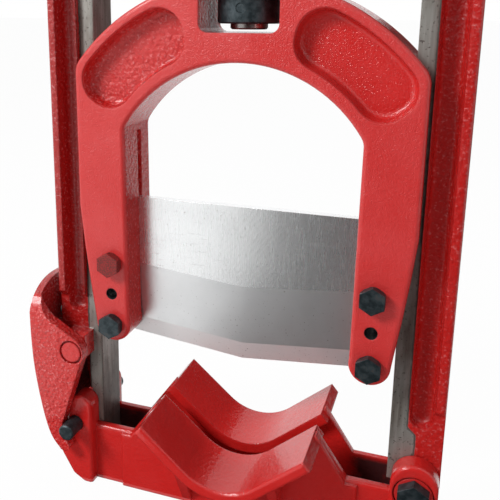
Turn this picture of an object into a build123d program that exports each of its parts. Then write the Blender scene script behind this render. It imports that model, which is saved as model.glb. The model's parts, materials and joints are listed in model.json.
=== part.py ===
from build123d import *
from math import cos, hypot, radians, sin, sqrt, tan
import os

# Guillotine cutter for plastic pipe, standing upright on its hinged base jaw.
# X runs across the two rails, Y from front to back, Z up. The origin is the
# middle of the base's underside. All sizes are in millimetres.

os.makedirs("parts", exist_ok=True)

# Clearances
gap = 0.3              # between curved or facing surfaces of pieces that move past each other
run_gap = 0.08         # on the radius of a shaft that turns or slides in its bore
seat_gap = 0.02        # on the radius of a piece that sits fast in its bore

# Rails and uprights of the frame casting
rail_inner_x = 87.4    # running face of each rail
rail_depth = 22.0      # milled land, front to back
rail_land = 9.1        # bare milled width beside the pocket
rim_depth = 29.0       # outer rim of the casting, front to back
rim_width = 5.0
pocket_width = 13.8
web_thickness = 10.0
pocket_draft = 12.0    # degrees
pocket_floor_r = 2.5
left_pocket_end_z = 110.5
right_pocket_end_z = 74.5
crease_rise = 10.5     # from a pocket's lower end up to where the deep rim starts
crossbar_under_z = 390.5
crossbar_height = 40.0
crossbar_corner_r = 14.0
rim_edge_r = 2.0

# Feed nut and screw
screw_d = 26.0
screw_pitch = 5.0
nut_d = 38.0
nut_flange_d = 48.0
nut_flange = 3.0
nut_boss_d = 58.0
nut_boss_rise = 4.0    # above the crossbar
nipple_seat = 1.0
nipple_af = 10.0
journal_d = 20.0
washer_d = 36.0
washer_thickness = 3.0
collar_d = 33.5
collar_height = 15.7
screw_tail = 3.0       # below the collar
collar_pin_d = 5.0

# Handle
hub_d = 44.0
hub_height = 42.0
hub_tenon = 17.0       # how far the screw goes into the hub
bar_rise = 28.0        # hub's underside to the bar
hub_pin_d = 6.0
bar_d = 16.0
bar_neck_d = 12.0      # where a knob sits
bar_length = 296.0
knob_d = 24.0
knob_length = 16.0
plunger_d = 8.0
plunger_nose = 1.5

# Blade yoke casting
arch_z = 190.5         # centre of the arch
arch_r = 76.3
yoke_outer_r = 119.5
flange_reach = 7.6     # of the leg's flanges over the rails
yoke_front_y = -20.7
yoke_rear_y = 15.5
head_rise = 8.5        # flat head above the arch's outside
yoke_boss_width = 52.0
neck_r = 8.0
leg_inner_x = 65.5
leg_shoulder_z = 228.0
arch_corner_r = 9.0    # where the arch meets a leg's inner face
taper_top_z = 182.5
taper_mid_x = 92.5
taper_mid_z = 158.5
taper_low_x = 89.8
taper_low_z = 137.5
tip_r = 11.0
yoke_corner_r = 12.0
yoke_front_r = 2.4
yoke_rear_r = 3.0
window_width = 43.0
window_floor = 15.2    # casting between the arch and the window
head_wall = 16.0       # casting above the window
window_corner_r = 5.0
kidney_inner_wall = 6.7    # between the arch and a kidney pocket
kidney_outer_wall = 5.0    # between the pocket and the yoke's outside
pocket_from = 17.8     # degrees off the vertical
pocket_to = 57.6       # degrees off the vertical
kidney_depth = 8.5
kidney_corner_r = 14.5
kidney_draft = 14.0    # degrees
kidney_floor_r = 3.0

# Blade and its bolts
blade_thickness = 5.0
blade_top_z = 185.9
blade_edge_z = 93.0    # lowest point of the cutting edge
blade_end = 8.0        # blade beyond the bolts
blade_end_r = 11.5
edge_angle = 5.8       # degrees, each half rises outwards
bevel_rise = 45.3      # from the cutting edge up to the first bevel
honed_rise = 10.2      # from the cutting edge up to the second bevel
bevel_half = 1.15      # half thickness at the second bevel
edge_half = 0.2        # half thickness at the cutting edge
bolt_x = 75.0
bolt_low_z = 111.0
bolt_pitch = 19.2      # low bolt, spare hole and top bolt are this far apart
bolt_d = 8.0
bolt_head_af = 12.8
bolt_head_height = 5.3
bolt_length = 32.0
spare_hole_d = 6.8

# Base jaw casting
hinge_x = 102.5
hinge_z = 42.0
ear_r = 12.5
ear_z = 46.5           # centre of the right ears' rounded top
ear_waist_z = 16.5
ear_y = 22.5           # outer face of the ears
left_ear_outer_x = -106.0
left_step_x = -91.0    # inner side of the left ears
left_ear_z = 52.0      # centre of their rounded top
plate_step_x = 72.5    # where the plates below the cradle get thicker
plate_y = 16.0         # outer face of the plates
plate_low_y = 18.0     # outer face of the plates below the cradle
plate_top_z = 38.0
base_foot_z = 0.0
foot_x = 97.0          # ends of the flat foot
foot_rise = 4.5
floor_thickness = 8.0
cradle_y = 45.0        # outer edge of the cradle strips
cradle_peak_x = 47.0
cradle_peak_z = 62.5
cradle_angle = 40.0
cradle_bottom_z = 32.5
cradle_bottom_r = 31.0
cradle_thickness = 6.5
cradle_slot_y = 6.0    # inner edge of the strips
cradle_edge_r = 2.0
flank_foot_x = 64.5
flank_top = 1.5        # flat at each peak, outside the V
cast_r = 2.0           # cast roundings
plate_step_r = 1.5
gusset_thickness = 6.0
gusset_pitch = 28.0
hinge_bolt_d = 10.0
hinge_bush_d = 14.0
hinge_head_af = 16.0
hinge_head_height = 6.4
hinge_washer_d = 20.0
hinge_washer_thickness = 2.0
hinge_nut_height = 8.4
spot_face_d = 21.5
spot_face_depth = 2.5

# Latch and its pins
latch_x = -99.0        # pivot
latch_z = 92.5
latch_pin_d = 9.5
latch_head_d = 12.5
latch_recess_d = 15.0
latch_recess = 3.0
cheek_y = 23.0         # inner face of a cheek
cheek_thickness = 7.0
latch_boss_r = 8.5
latch_web = 4.7
web_foot_z = 56.0
latch_edge_r = 1.5
lip_foot_z = 27.0
tab_top_z = 142.5
tab_corner_r = 18.0
catch_x = -101.5
catch_z = 40.5
catch_pin_d = 10.0
catch_pin_end_y = 35.5
spring_z = 104.5
spring_d = 8.0
spring_wire = 1.2
spring_coils = 4.5

# Sizes worked out from the driving dimensions
rail_half = rail_depth / 2
rim_half = rim_depth / 2
pocket_inner_x = rail_inner_x + rail_land
pocket_outer_x = pocket_inner_x + pocket_width
upright_outer_x = pocket_outer_x + rim_width
crossbar_top_z = crossbar_under_z + crossbar_height
crossbar_mid_z = crossbar_under_z + crossbar_height / 2
nut_boss_top_z = crossbar_top_z + nut_boss_rise
nut_top_z = nut_boss_top_z + nut_flange
slot_y = rail_half + gap
yoke_half_width = rail_inner_x + flange_reach
pocket_inner_r = arch_r + kidney_inner_wall
pocket_outer_r = yoke_outer_r - kidney_outer_wall
kidney_end_r = min(kidney_corner_r, (pocket_outer_r - pocket_inner_r) / 2 - 0.5)
yoke_top_z = arch_z + yoke_outer_r + head_rise
window_z = arch_z + arch_r + window_floor
blade_half_length = bolt_x + blade_end
travel_down = cradle_bottom_z - 0.5 - blade_edge_z
hub_bottom_z = nut_top_z - travel_down + 1.0
bar_z = hub_bottom_z + bar_rise
hub_top_z = hub_bottom_z + hub_height
hub_pin_z = hub_bottom_z + hub_tenon / 2
spare_z = bolt_low_z + bolt_pitch
bolt_top_z = spare_z + bolt_pitch
window_top_z = yoke_top_z - head_wall
collar_bottom_z = window_top_z - gap - collar_height
screw_bottom_z = collar_bottom_z - screw_tail
washer_top_z = yoke_top_z + washer_thickness
yoke_depth = yoke_rear_y - yoke_front_y
cheek_front_y = cheek_y + cheek_thickness
washer_seat_y = ear_y - spot_face_depth


# Frame casting: two uprights with milled rails, a crossbar and the nut boss
with BuildPart() as frame_casting:
    with BuildSketch(Plane.XZ):
        with Locations((0, crossbar_under_z / 2 + crossbar_top_z / 2)):
            Rectangle(2 * upright_outer_x, crossbar_height)
        for side, foot_z in ((1, hinge_z), (-1, latch_z + 3)):
            mid_x = side * (rail_inner_x + upright_outer_x) / 2
            with Locations((mid_x, (foot_z + crossbar_top_z) / 2)):
                Rectangle(upright_outer_x - rail_inner_x, crossbar_top_z - foot_z)
        with Locations((hinge_x, hinge_z)):
            Circle(ear_r)
        with Locations((latch_x, latch_z)):
            Circle(latch_boss_r)
        # The left rail goes on down as a tongue that stands in the base's slot.
        tongue_foot_z = base_foot_z + floor_thickness + gap
        tongue_x = -(rail_inner_x + pocket_inner_x) / 2
        with Locations((tongue_x, (tongue_foot_z + latch_z + 6) / 2)):
            Rectangle(rail_land, latch_z + 6 - tongue_foot_z)
    extrude(amount=rail_half, both=True)
    # Rounded inner corners below the crossbar
    inner = [
        edge
        for edge in frame_casting.edges().filter_by(Axis.Y)
        if abs(edge.center().Z - crossbar_under_z) < 0.1 and abs(edge.center().X) < upright_outer_x - 1
    ]
    fillet(inner, radius=crossbar_corner_r)
    # Deep rim and crossbar, sloped back to the rail's depth at each crease
    for side, end_z in ((1, right_pocket_end_z), (-1, left_pocket_end_z)):
        crease_z = end_z + crease_rise
        slope = rim_half - rail_half
        with BuildSketch(Plane.YZ.offset(side * pocket_inner_x if side > 0 else -upright_outer_x)):
            with BuildLine():
                Polyline(
                    (-rail_half, crease_z),
                    (-rim_half, crease_z + slope),
                    (-rim_half, crossbar_top_z),
                    (rim_half, crossbar_top_z),
                    (rim_half, crease_z + slope),
                    (rail_half, crease_z),
                    close=True,
                )
            make_face()
        extrude(amount=upright_outer_x - pocket_inner_x)
    with Locations((0, 0, crossbar_mid_z)):
        Box(2 * pocket_inner_x, rim_depth, crossbar_height)
    fillet(frame_casting.edges().filter_by(Axis.Y).group_by(Axis.Z)[-1], radius=crossbar_corner_r)
    # Nut boss in the middle of the crossbar
    with BuildSketch(Plane.XY.offset(crossbar_under_z)):
        Circle(nut_boss_d / 2)
    extrude(amount=nut_boss_top_z - crossbar_under_z)
    # Pockets, front and rear, with a web left between them
    pocket_top_z = crossbar_under_z - crossbar_corner_r
    bar_pocket_from = nut_boss_d / 2 + 6
    bar_pocket_to = pocket_inner_x
    for face in (1, -1):
        with BuildSketch(Plane.XZ.offset(face * rim_half)):
            for side, end_z in ((1, right_pocket_end_z), (-1, left_pocket_end_z)):
                with Locations((side * (pocket_inner_x + pocket_outer_x) / 2, (end_z + pocket_top_z) / 2)):
                    SlotOverall(pocket_top_z - end_z, pocket_width, rotation=90)
                with Locations((side * (bar_pocket_from + bar_pocket_to) / 2, crossbar_mid_z)):
                    RectangleRounded(bar_pocket_to - bar_pocket_from, crossbar_height - 14, 8)
        extrude(
            amount=-face * (rim_half - web_thickness / 2),
            taper=pocket_draft,
            mode=Mode.SUBTRACT,
        )
    # Cast roundings: the floors of the long pockets, and the outside of the rim
    pocket_floors = frame_casting.faces().filter_by(Axis.Y).filter_by(
        lambda face: abs(abs(face.center().Y) - web_thickness / 2) < 0.05
        and abs(face.center().X) > pocket_inner_x
    )
    fillet(pocket_floors.edges(), radius=pocket_floor_r)
    face_edges = frame_casting.edges().filter_by(
        lambda edge: abs(abs(edge.center().Y) - rim_half) < 0.05 and edge.bounding_box().size.Y < 0.05
    )
    outside = face_edges.filter_by(
        lambda edge: abs(abs(edge.center().X) - upright_outer_x) < 0.1
        or abs(edge.center().Z - crossbar_top_z) < 0.1
        or (edge.center().Z > crossbar_top_z - crossbar_corner_r / 2 and abs(edge.center().X) > pocket_inner_x)
    )
    fillet(outside, radius=rim_edge_r)
    # Bosses that carry the latch pivot, flat beside the yoke's leg
    with BuildSketch(Plane.XZ):
        with Locations((latch_x, latch_z)):
            Circle(latch_boss_r)
        with Locations((latch_x, latch_z + 4)):
            Rectangle(2 * latch_boss_r, latch_boss_r)
        with Locations((-taper_mid_x - 0.6 + 20, latch_z)):
            Rectangle(40, 60, mode=Mode.SUBTRACT)
    extrude(amount=cheek_y - gap, both=True)
    # The tongue is relieved on an arc about the hinge, so that the catch pin passes it.
    relief_r = hypot(hinge_x - catch_x, hinge_z - catch_z) - catch_pin_d / 2 - 0.7
    with BuildSketch(Plane.XZ):
        with Locations(((catch_x + tongue_x) / 2 - 6, (latch_z - latch_boss_r) / 2 - 8)):
            Rectangle(24, latch_z - latch_boss_r - 16 + 16)
        with Locations((hinge_x, hinge_z)):
            Circle(relief_r, mode=Mode.SUBTRACT)
        with Locations((latch_x, 70)):
            Rectangle(60, 20, mode=Mode.SUBTRACT)
    extrude(amount=rail_half + 1, both=True, mode=Mode.SUBTRACT)
    # Bores for the nut, the hinge bush, the latch pin, and the spring's seat
    with Locations((0, 0, nut_boss_top_z)):
        CounterBoreHole(nut_d / 2 + seat_gap, nut_flange_d / 2 + 0.5, 0.01 + nut_boss_rise * 0.25)
    with BuildSketch(Plane.XZ):
        with Locations((hinge_x, hinge_z)):
            Circle(hinge_bush_d / 2 + seat_gap)
        with Locations((latch_x, latch_z)):
            Circle(latch_pin_d / 2 + seat_gap)
    extrude(amount=cheek_y + 1, both=True, mode=Mode.SUBTRACT)
    spring_seat_x = -pocket_inner_x - pocket_width / 2 + 2
    with BuildSketch(Plane.YZ.offset(-upright_outer_x - 1)):
        with Locations((0, spring_z)):
            Circle(spring_d / 2 + gap)
    extrude(amount=spring_seat_x + upright_outer_x + 1, mode=Mode.SUBTRACT)
    # Spot face for the grease nipple on the front of the nut boss
    with BuildSketch(Plane.XZ.offset(nut_boss_d / 2 - nipple_seat)):
        with Locations((0, crossbar_mid_z)):
            Circle(nipple_af / 2 + 1.5)
    extrude(amount=nipple_seat + 1, mode=Mode.SUBTRACT)
frame_casting.part.label = "frame_casting"


# Bronze feed nut, seated in the crossbar's boss
with BuildPart() as feed_nut:
    with BuildSketch(Plane.XY.offset(crossbar_under_z)):
        Circle(nut_d / 2)
    extrude(amount=nut_boss_top_z - crossbar_under_z)
    with BuildSketch(Plane.XY.offset(nut_boss_top_z)):
        Circle(nut_flange_d / 2)
    extrude(amount=nut_flange)
    chamfer(feed_nut.edges().group_by(Axis.Z)[-1], length=0.8)
    with BuildSketch(Plane.XY.offset(crossbar_under_z)):
        Circle(screw_d / 2 + run_gap)
    extrude(amount=nut_top_z - crossbar_under_z, mode=Mode.SUBTRACT)
feed_nut.part.label = "feed_nut"


# Set screw that keeps the nut from turning, in from the rear of the boss
lock_screw_d = 8.0
lock_screw_length = 12.0
lock_screw_z = crossbar_mid_z
lock_screw_y = nut_boss_d / 2 - lock_screw_length
with BuildPart() as nut_lock_screw:
    with BuildSketch(Plane.XZ.offset(-lock_screw_y)):
        with Locations((0, lock_screw_z)):
            Circle(lock_screw_d / 2)
    extrude(amount=-lock_screw_length)
    chamfer(nut_lock_screw.edges().group_by(Axis.Y)[0], length=0.8)
    with BuildSketch(Plane.XZ.offset(-lock_screw_y - lock_screw_length)):
        with Locations((0, lock_screw_z)):
            RegularPolygon(2.3, 6)
    extrude(amount=4, mode=Mode.SUBTRACT)
nut_lock_screw.part.label = "nut_lock_screw"

# Its bore goes through the boss and into the nut.
with BuildPart() as lock_bore:
    with BuildSketch(Plane.XZ.offset(-lock_screw_y)):
        with Locations((0, lock_screw_z)):
            Circle(lock_screw_d / 2 + seat_gap)
    extrude(amount=-nut_boss_d)
frame_casting.part = frame_casting.part - lock_bore.part
feed_nut.part = feed_nut.part - lock_bore.part
frame_casting.part.label = "frame_casting"
feed_nut.part.label = "feed_nut"


# Bronze bush in the frame's knuckle
with BuildPart() as hinge_bush:
    with BuildSketch(Plane.XZ):
        with Locations((hinge_x, hinge_z)):
            Circle(hinge_bush_d / 2)
            Circle(hinge_bolt_d / 2 + run_gap, mode=Mode.SUBTRACT)
    extrude(amount=rail_half, both=True)
hinge_bush.part.label = "hinge_bush"


# Latch pivot pin: a plain shank with a broad flat head in the front cheek's recess
pin_head_inner_y = cheek_front_y - latch_recess + 0.2
pin_end_y = cheek_front_y + 3.6
with BuildPart() as latch_pivot_pin:
    with BuildSketch(Plane.XZ.offset(-pin_end_y)):
        with Locations((latch_x, latch_z)):
            Circle(latch_pin_d / 2)
    extrude(amount=pin_end_y + pin_head_inner_y)
    with BuildSketch(Plane.XZ.offset(pin_head_inner_y)):
        with Locations((latch_x, latch_z)):
            Circle(latch_head_d / 2)
    extrude(amount=latch_recess - 0.5)
    chamfer(latch_pivot_pin.edges().group_by(Axis.Y)[-1], length=0.8)
    clip_groove_y = cheek_front_y + gap
    clip_thickness = 1.2
    with BuildSketch(Plane.XZ.offset(-clip_groove_y)):
        with Locations((latch_x, latch_z)):
            Circle(latch_pin_d / 2 + 1)
            Circle(latch_pin_d / 2 - 0.9, mode=Mode.SUBTRACT)
    extrude(amount=-clip_thickness, mode=Mode.SUBTRACT)
latch_pivot_pin.part.label = "latch_pivot_pin"


# Snap ring in the pin's rear groove
with BuildPart() as latch_pin_clip:
    with BuildSketch(Plane.XZ.offset(-clip_groove_y)):
        with Locations((latch_x, latch_z)):
            Circle(latch_pin_d / 2 + 2.2)
            Circle(latch_pin_d / 2 - 0.9 + seat_gap, mode=Mode.SUBTRACT)
        with Locations((latch_x, latch_z - latch_pin_d / 2)):
            Rectangle(3.6, latch_pin_d, mode=Mode.SUBTRACT)
    extrude(amount=-clip_thickness)
latch_pin_clip.part.label = "latch_pin_clip"


# Compression spring between the upright and the latch's thumb web
spring_rest_x = -upright_outer_x - 7.0
spring_length = spring_seat_x - spring_rest_x - 0.4
with BuildPart() as latch_spring:
    with BuildLine():
        coil = Helix(
            pitch=(spring_length - spring_wire) / spring_coils,
            height=spring_length - spring_wire,
            radius=(spring_d - spring_wire) / 2,
            center=(spring_rest_x + 0.2 + spring_wire / 2, 0, spring_z),
            direction=(1, 0, 0),
        )
    with BuildSketch(Plane(origin=coil @ 0, z_dir=coil % 0)):
        Circle(spring_wire / 2)
    sweep(path=coil, is_frenet=True)
latch_spring.part.label = "latch_spring"


# Yoke casting: arch, two slotted legs that run on the rails, and the head
with BuildPart() as yoke_casting:
    with BuildSketch(Plane.XZ.offset(-yoke_front_y)):
        with Locations((0, arch_z)):
            Circle(yoke_outer_r)
        with Locations((0, arch_z)):
            Rectangle(2 * yoke_half_width, 2 * yoke_outer_r, mode=Mode.INTERSECT)
        Rectangle(4 * yoke_half_width, 2 * leg_shoulder_z, mode=Mode.SUBTRACT)
        with Locations((0, yoke_top_z / 2 + window_z / 2)):
            Rectangle(yoke_boss_width, yoke_top_z - window_z)
        with Locations((0, arch_z)):
            Circle(arch_r, mode=Mode.SUBTRACT)
        for side in (1, -1):
            with BuildLine():
                Polyline(
                    (side * leg_inner_x, leg_shoulder_z + 6),
                    (side * yoke_half_width, leg_shoulder_z + 6),
                    (side * yoke_half_width, taper_top_z),
                    (side * taper_mid_x, taper_mid_z),
                    (side * taper_low_x, taper_low_z),
                    (side * (bolt_x + tip_r), bolt_low_z),
                    (side * (bolt_x - tip_r + 0.3), bolt_low_z),
                    close=True,
                )
            make_face()
            with Locations((side * bolt_x, bolt_low_z)):
                Circle(tip_r)
    extrude(amount=-yoke_depth)
    arch_corners = [
        edge
        for edge in yoke_casting.edges().filter_by(Axis.Y)
        if abs(abs(edge.center().X) - leg_inner_x) < 0.1 and edge.center().Z > arch_z
    ]
    fillet(arch_corners, radius=arch_corner_r)
    shoulders = [
        edge
        for edge in yoke_casting.edges().filter_by(Axis.Y)
        if abs(abs(edge.center().X) - yoke_half_width) < 0.1 and edge.center().Z > leg_shoulder_z + 8
    ]
    fillet(shoulders, radius=yoke_corner_r)
    neck = [
        edge
        for edge in yoke_casting.edges().filter_by(Axis.Y)
        if abs(abs(edge.center().X) - yoke_boss_width / 2) < 0.1 and edge.center().Z < yoke_top_z - 2
    ]
    fillet(neck, radius=neck_r)
    fillet(yoke_casting.faces().sort_by(Axis.Y)[0].edges(), radius=yoke_front_r)
    fillet(yoke_casting.faces().sort_by(Axis.Y)[-1].edges(), radius=yoke_rear_r)
    # Kidney-shaped pockets in both shoulders
    with BuildSketch(Plane.XZ.offset(-yoke_front_y)) as kidneys:
        for side in (1, -1):
            start = 90 - side * pocket_from
            span = -side * (pocket_to - pocket_from)
            with BuildLine():
                outer = CenterArc((0, arch_z), pocket_outer_r, start, span)
                inner_arc = CenterArc((0, arch_z), pocket_inner_r, start, span)
                Line(outer @ 0, inner_arc @ 0)
                Line(outer @ 1, inner_arc @ 1)
            make_face()
        fillet(kidneys.vertices(), radius=kidney_end_r)
    extrude(amount=-kidney_depth, taper=kidney_draft, mode=Mode.SUBTRACT)
    floors = yoke_casting.faces().filter_by(
        lambda face: abs(face.center().Y - yoke_front_y - kidney_depth) < 0.1
    )
    fillet(floors.edges(), radius=kidney_floor_r)
    # Window round the end of the feed screw, and the journal bore above it
    with BuildSketch(Plane.XZ.offset(-yoke_front_y + 1)) as window:
        with Locations((0, window_z / 2 + window_top_z / 2)):
            RectangleRounded(window_width, window_top_z - window_z, window_corner_r)
    extrude(amount=-yoke_depth - 2, mode=Mode.SUBTRACT)
    with BuildSketch(Plane.XY.offset(window_z + 1)):
        Circle(journal_d / 2 + run_gap)
    extrude(amount=yoke_top_z - window_z, mode=Mode.SUBTRACT)
    # Grooves that embrace the rails, and the slot that takes the blade
    for side in (1, -1):
        with BuildSketch(Plane.XY.offset(base_foot_z)):
            with Locations((side * (rail_inner_x - gap + 10), 0)):
                Rectangle(20, rail_depth + 2 * gap)
        extrude(amount=yoke_top_z, mode=Mode.SUBTRACT)
        with BuildSketch(Plane.XZ):
            with Locations((side * (blade_half_length / 2 + gap), blade_top_z / 2 + gap)):
                Rectangle(blade_half_length, blade_top_z)
            with Locations((side * leg_inner_x, blade_top_z + 16)):
                RectangleRounded(9, 48, 4)
        extrude(amount=blade_thickness / 2 + seat_gap, both=True, mode=Mode.SUBTRACT)
    # Bolt holes and the spare tapped holes
    with BuildSketch(Plane.XZ.offset(-yoke_front_y + 1)):
        for side in (1, -1):
            with Locations((side * bolt_x, bolt_low_z), (side * bolt_x, bolt_top_z)):
                Circle(bolt_d / 2 + seat_gap)
            with Locations((side * bolt_x, spare_z)):
                Circle(spare_hole_d / 2)
    extrude(amount=-yoke_depth - 2, mode=Mode.SUBTRACT)
yoke_casting.part.label = "yoke_casting"


# Blade: two ground bevels on each face, and an edge that rises to both ends
rise = tan(radians(edge_angle))
with BuildPart() as blade:
    with BuildSketch(Plane.XZ):
        with BuildLine():
            Polyline(
                (0, blade_edge_z),
                (bolt_x, blade_edge_z + rise * bolt_x),
                (bolt_x, blade_top_z),
                (0, blade_top_z),
                close=True,
            )
        make_face()
        with BuildLine():
            Polyline(
                (bolt_x, bolt_low_z - blade_end_r + 2),
                (bolt_x, blade_top_z),
                (blade_half_length, blade_top_z),
                (blade_half_length, bolt_low_z),
                close=True,
            )
        make_face()
    extrude(amount=blade_thickness / 2, both=True)
    along = Vector(cos(radians(edge_angle)), 0, sin(radians(edge_angle)))
    edge_plane = Plane(origin=(0, 0, blade_edge_z), x_dir=(0, 1, 0), z_dir=along)
    for face in (1, -1):
        with BuildSketch(edge_plane.offset(-blade_half_length)):
            with BuildLine():
                Polyline(
                    (face * edge_half, -20),
                    (face * edge_half, 0),
                    (face * bevel_half, honed_rise),
                    (face * blade_thickness / 2, bevel_rise),
                    (face * blade_thickness, bevel_rise),
                    (face * blade_thickness, -20),
                    close=True,
                )
            make_face()
        extrude(amount=3 * blade_half_length, mode=Mode.SUBTRACT)
    mirror(about=Plane.YZ)
    with BuildSketch(Plane.XZ.offset(blade_thickness)):
        for side in (1, -1):
            with Locations(
                (side * bolt_x, bolt_low_z),
                (side * bolt_x, spare_z),
                (side * bolt_x, bolt_top_z),
            ):
                Circle(bolt_d / 2 + seat_gap)
    extrude(amount=-2 * blade_thickness, mode=Mode.SUBTRACT)
blade.part.label = "blade"


# Four hexagon bolts that clamp the blade in the legs
head_r = bolt_head_af / sqrt(3)
bolts = []
for side in (-1, 1):
    for bolt_z in (bolt_top_z, bolt_low_z):
        with BuildPart() as bolt:
            with BuildSketch(Plane.XZ.offset(-yoke_front_y)):
                with Locations((side * bolt_x, bolt_z)):
                    RegularPolygon(head_r, 6, rotation=30)
            extrude(amount=bolt_head_height)
            with BuildSketch(Plane.XZ.offset(-yoke_front_y)):
                with Locations((side * bolt_x, bolt_z)):
                    Circle(bolt_head_af / 2 + 0.25)
            extrude(amount=bolt_head_height, taper=-18, mode=Mode.INTERSECT)
            with BuildSketch(Plane.XZ.offset(-yoke_front_y)):
                with Locations((side * bolt_x, bolt_z)):
                    Circle(bolt_d / 2)
            extrude(amount=-bolt_length)
        bolts.append(bolt.part)
blade_bolts = Compound(label="blade_bolts", children=bolts)


# Thrust washer between the screw's shoulder and the yoke's head
with BuildPart() as thrust_washer:
    with BuildSketch(Plane.XY.offset(yoke_top_z)):
        Circle(washer_d / 2)
        Circle(journal_d / 2 + run_gap, mode=Mode.SUBTRACT)
    extrude(amount=washer_thickness)
thrust_washer.part.label = "thrust_washer"


# Feed screw: threaded shank, journal through the head, tail inside the collar
with BuildPart() as feed_screw:
    with BuildSketch(Plane.XY.offset(washer_top_z)):
        Circle(screw_d / 2)
    extrude(amount=hub_bottom_z + hub_tenon - washer_top_z)
    with BuildSketch(Plane.XY.offset(screw_bottom_z)):
        Circle(journal_d / 2)
    extrude(amount=washer_top_z - screw_bottom_z)
    chamfer(feed_screw.edges().group_by(Axis.Z)[0], length=0.8)
    with BuildSketch(Plane.XZ.offset(collar_d)):
        with Locations((0, collar_bottom_z + collar_height / 2)):
            Circle(collar_pin_d / 2 + seat_gap)
    extrude(amount=-2 * collar_d, mode=Mode.SUBTRACT)
    with BuildSketch(Plane.XZ.offset(collar_d)):
        with Locations((0, hub_pin_z)):
            Circle(hub_pin_d / 2 + seat_gap)
    extrude(amount=-2 * collar_d, mode=Mode.SUBTRACT)
feed_screw.part.label = "feed_screw"


# Collar under the head's wall, held by a cross pin
with BuildPart() as retaining_collar:
    with BuildSketch(Plane.XY.offset(collar_bottom_z)):
        Circle(collar_d / 2)
        Circle(journal_d / 2 + seat_gap, mode=Mode.SUBTRACT)
    extrude(amount=collar_height)
    chamfer(retaining_collar.edges().filter_by(GeomType.CIRCLE).sort_by(SortBy.RADIUS)[-2:], length=0.8)
    with BuildSketch(Plane.XZ.offset(collar_d)):
        with Locations((0, collar_bottom_z + collar_height / 2)):
            Circle(collar_pin_d / 2 + seat_gap)
    extrude(amount=-2 * collar_d, mode=Mode.SUBTRACT)
retaining_collar.part.label = "retaining_collar"

with BuildPart() as collar_pin:
    with BuildSketch(Plane.XZ):
        with Locations((0, collar_bottom_z + collar_height / 2)):
            Circle(collar_pin_d / 2)
    extrude(amount=collar_d / 2 - 0.4, both=True)
collar_pin.part.label = "collar_pin"


# Handle hub: a round boss on the screw, bored across for the sliding bar
with BuildPart() as handle_hub:
    with BuildSketch(Plane.XY.offset(hub_bottom_z)):
        Circle(hub_d / 2)
    extrude(amount=hub_height)
    fillet(handle_hub.edges().group_by(Axis.Z)[-1], radius=4)
    fillet(handle_hub.edges().group_by(Axis.Z)[0], radius=1.5)
    with BuildSketch(Plane.XY.offset(hub_bottom_z - 1)):
        Circle(screw_d / 2 + seat_gap)
    extrude(amount=hub_tenon + 1, mode=Mode.SUBTRACT)
    with BuildSketch(Plane.YZ.offset(-hub_d)):
        with Locations((0, bar_z)):
            Circle(bar_d / 2 + run_gap)
    extrude(amount=2 * hub_d, mode=Mode.SUBTRACT)
    with BuildSketch(Plane.XZ.offset(hub_d)):
        with Locations((0, hub_pin_z)):
            Circle(hub_pin_d / 2 + seat_gap)
    extrude(amount=-2 * hub_d, mode=Mode.SUBTRACT)
    with BuildSketch(Plane.XY.offset(hub_top_z + 1)):
        Circle(plunger_d / 2 + seat_gap)
    extrude(amount=-(hub_top_z + 1 - bar_z), mode=Mode.SUBTRACT)
handle_hub.part.label = "handle_hub"

# Cross pin that fixes the hub to the screw
with BuildPart() as hub_pin:
    with BuildSketch(Plane.XZ):
        with Locations((0, hub_pin_z)):
            Circle(hub_pin_d / 2)
    extrude(amount=hub_d / 2 - 0.3, both=True)
    chamfer(hub_pin.edges().filter_by(GeomType.CIRCLE), length=0.6)
hub_pin.part.label = "hub_pin"

# Screw plunger in the hub's top that holds the bar by friction
with BuildPart() as bar_plunger:
    with BuildSketch(Plane.XY.offset(bar_z + bar_d / 2 + plunger_nose)):
        Circle(plunger_d / 2)
    extrude(amount=hub_top_z - bar_z - bar_d / 2 - plunger_nose - 1)
    with BuildSketch(Plane.XY.offset(bar_z + bar_d / 2 + 0.2)):
        Circle(plunger_d / 2 - 1.6)
    extrude(amount=plunger_nose)
    with BuildSketch(Plane.XY.offset(hub_top_z - 1)):
        RegularPolygon(2.3, 6)
    extrude(amount=-2.5, mode=Mode.SUBTRACT)
bar_plunger.part.label = "bar_plunger"


# Sliding bar with a necked seat for a knob at each end
with BuildPart() as tommy_bar:
    with BuildSketch(Plane.YZ):
        with Locations((0, bar_z)):
            Circle(bar_d / 2)
    extrude(amount=bar_length / 2 - knob_length, both=True)
    with BuildSketch(Plane.YZ):
        with Locations((0, bar_z)):
            Circle(bar_neck_d / 2)
    extrude(amount=bar_length / 2 - 2, both=True)
tommy_bar.part.label = "tommy_bar"

# End knobs, pressed on the bar's necks
for side, knob_name in ((-1, "bar_knob_left"), (1, "bar_knob_right")):
    inner_x = bar_length / 2 - knob_length
    with BuildPart() as knob:
        with BuildSketch(Plane.XZ) as knob_section:
            with Locations((side * (inner_x + knob_length / 2), bar_z + knob_d / 4)):
                Rectangle(knob_length, knob_d / 2)
            fillet(knob_section.vertices().group_by(Axis.Y)[-1], radius=5)
            with Locations((side * (inner_x + knob_length / 2 - 1), bar_z + bar_neck_d / 4)):
                Rectangle(knob_length - 2 + seat_gap, bar_neck_d / 2 + seat_gap, mode=Mode.SUBTRACT)
        revolve(axis=Axis((0, 0, bar_z), (1, 0, 0)))
    knob.part.label = knob_name
    export_step(knob.part, f"parts/{knob_name}.step")


# Base jaw casting: two plates with a slot between them, ears, and a V cradle
valley_z = cradle_peak_z - cradle_peak_x * tan(radians(cradle_angle))
flank_x = cradle_peak_x + flank_top
left_ear_x = (left_step_x + left_ear_outer_x) / 2
left_ear_r = (left_step_x - left_ear_outer_x) / 2


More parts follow.
